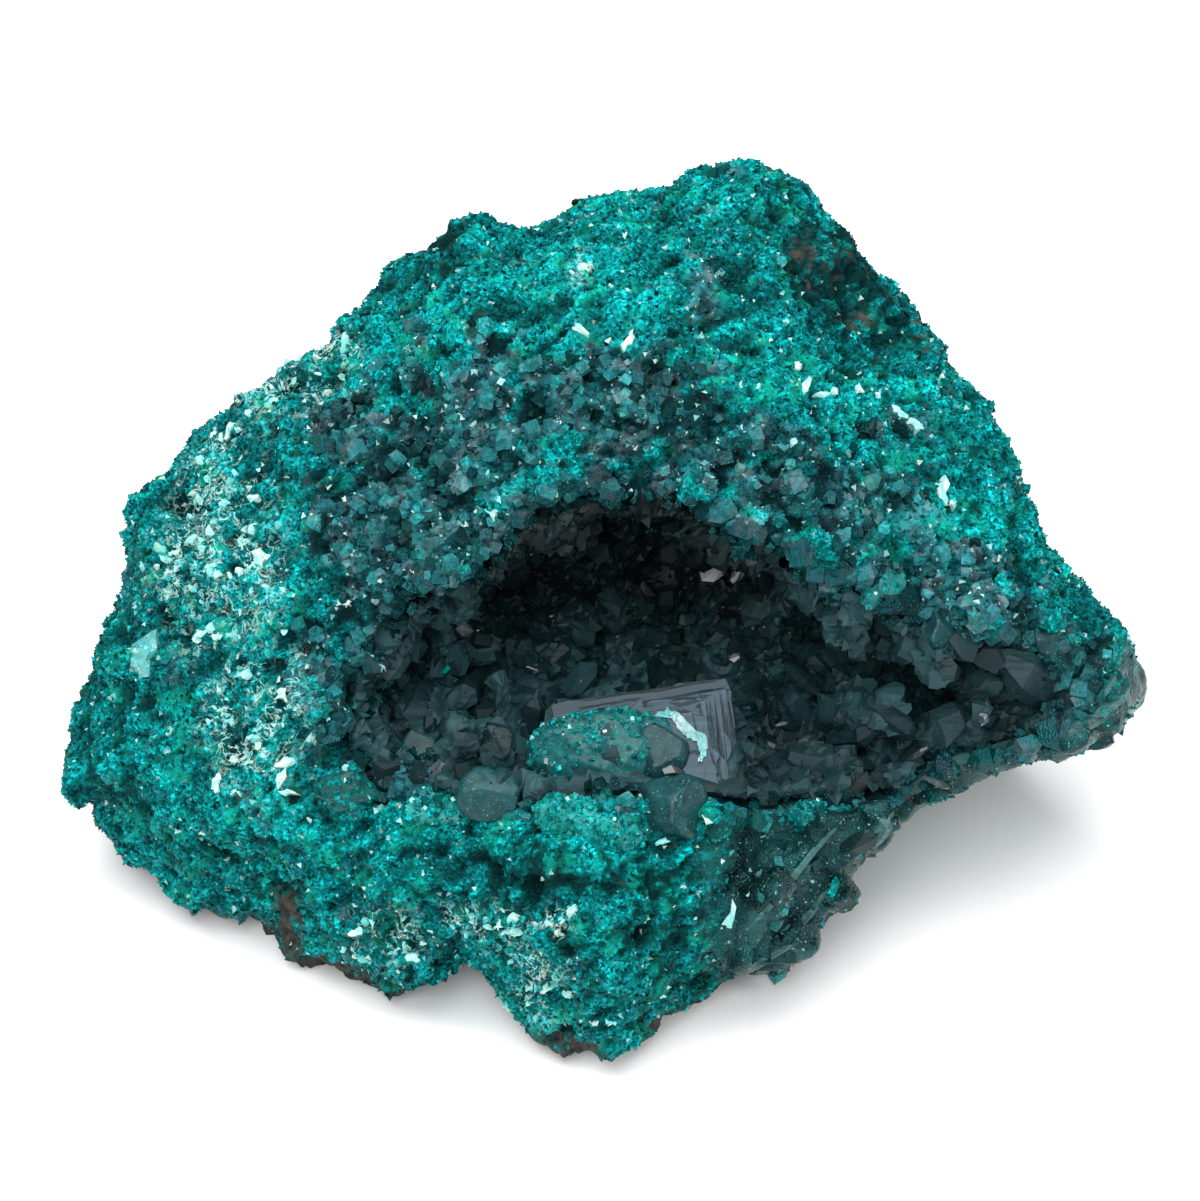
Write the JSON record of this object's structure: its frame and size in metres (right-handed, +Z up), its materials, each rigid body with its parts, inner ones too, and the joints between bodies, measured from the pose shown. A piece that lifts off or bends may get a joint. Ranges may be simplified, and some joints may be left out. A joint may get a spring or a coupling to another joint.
{
  "type": "dioptase specimen",
  "caption": "Lump of rock coated with small green dioptase crystals, with a wide hollow lined with larger dark crystals.",
  "frame": {"origin": "middle of the bounding box, on the surface it lies on", "axes": "+Z up, +X along the longest side towards the pointed arm, and -Y towards the hollow's mouth"},
  "size_m": [0.0606, 0.0464, 0.037],
  "materials": {
    "matrix": "sparkling crystal coat on rough rock",
    "cavity_crystals": "glassy crystal faces"
  },
  "bodies": {
    "root": {"matrix": "matrix", "cavity_crystals": "cavity_crystals"}
  },
  "joints": []
}
